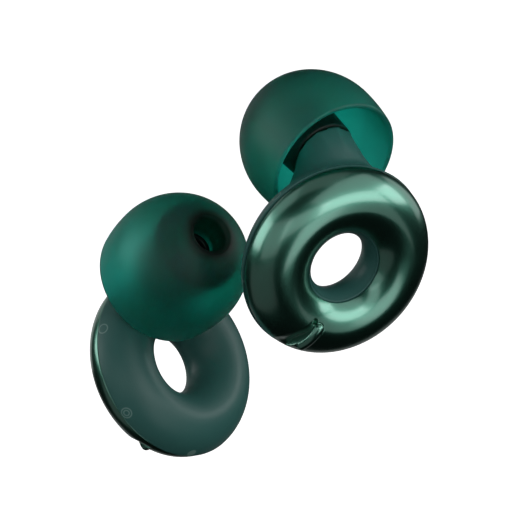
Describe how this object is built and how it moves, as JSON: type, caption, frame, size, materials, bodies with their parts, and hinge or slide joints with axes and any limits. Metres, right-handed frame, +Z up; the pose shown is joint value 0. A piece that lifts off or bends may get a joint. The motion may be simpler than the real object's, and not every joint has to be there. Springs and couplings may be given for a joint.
{
  "type": "reusable ear plug pair",
  "caption": "Reusable ear plugs: a ring body with a turning metallised mode dial, a horn with an acoustic filter, and a soft silicone dome tip.",
  "frame": {"origin": "centre of the right ear tip's widest circle, on the tip's axis, where an ear canal grips the tip", "axes": "+Z up and +X to the right as the pair is shown; +Y runs away from the viewer, and the right plug's dial faces -Y"},
  "size_m": [0.0285, 0.023, 0.0353],
  "materials": {
    "dial_metal": "vapour-metallised dark green plastic with a satin sheen",
    "shell_matte": "fine matte grey-green",
    "tip_silicone": "translucent green silicone with a satin skin",
    "nozzle_black": "dark green-black satin plastic",
    "inner_plastic": "dark moulded plastic",
    "spring_steel": "bare spring steel",
    "gasket_foam": "closed-cell foam rubber",
    "filter_mesh": "fine woven acoustic mesh"
  },
  "bodies": {
    "right_plug": {"right_rear_shell": "shell_matte", "right_port_plate": "inner_plastic", "right_plate_gasket": "gasket_foam", "right_dial_clip": "spring_steel", "right_detent_spring": "spring_steel", "right_nozzle": "nozzle_black", "right_filter_cup": "inner_plastic", "right_filter_membrane": "filter_mesh", "right_filter_retainer": "inner_plastic", "right_nozzle_screen": "filter_mesh"},
    "right_dial": {"right_dial": "dial_metal", "right_shutter": "inner_plastic"},
    "right_tip": {"right_ear_tip": "tip_silicone"},
    "left_plug": {"left_rear_shell": "shell_matte", "left_port_plate": "inner_plastic", "left_plate_gasket": "gasket_foam", "left_dial_clip": "spring_steel", "left_detent_spring": "spring_steel", "left_nozzle": "nozzle_black", "left_filter_cup": "inner_plastic", "left_filter_membrane": "filter_mesh", "left_filter_retainer": "inner_plastic", "left_nozzle_screen": "filter_mesh"},
    "left_dial": {"left_dial": "dial_metal", "left_shutter": "inner_plastic"},
    "left_tip": {"left_ear_tip": "tip_silicone"}
  },
  "joints": [
    {"name": "right_dial_turn", "type": "hinge", "parent": "right_plug", "child": "right_dial", "pos_m": [0.00177, -0.00527, -0.00825], "axis": [0.4251, -0.8979, -0.1145], "range_deg": [-109, 0]},
    {"name": "right_tip_pull", "type": "slide", "parent": "right_plug", "child": "right_tip", "axis": [-0.5162, 0.7996, 0.307], "range_m": [0, 0.0048]},
    {"name": "left_dial_turn", "type": "hinge", "parent": "left_plug", "child": "left_dial", "pos_m": [-0.01243, 0.00553, -0.02185], "axis": [-0.6636, 0.5386, -0.5193], "range_deg": [-21, 88]},
    {"name": "left_tip_pull", "type": "slide", "parent": "left_plug", "child": "left_tip", "axis": [0.4767, -0.5904, 0.6512], "range_m": [0, 0.0048]},
    {"name": "left_plug_lift", "type": "slide", "parent": "right_plug", "child": "left_plug", "axis": [-1, 0, 0], "range_m": [0, 0.025]}
  ]
}
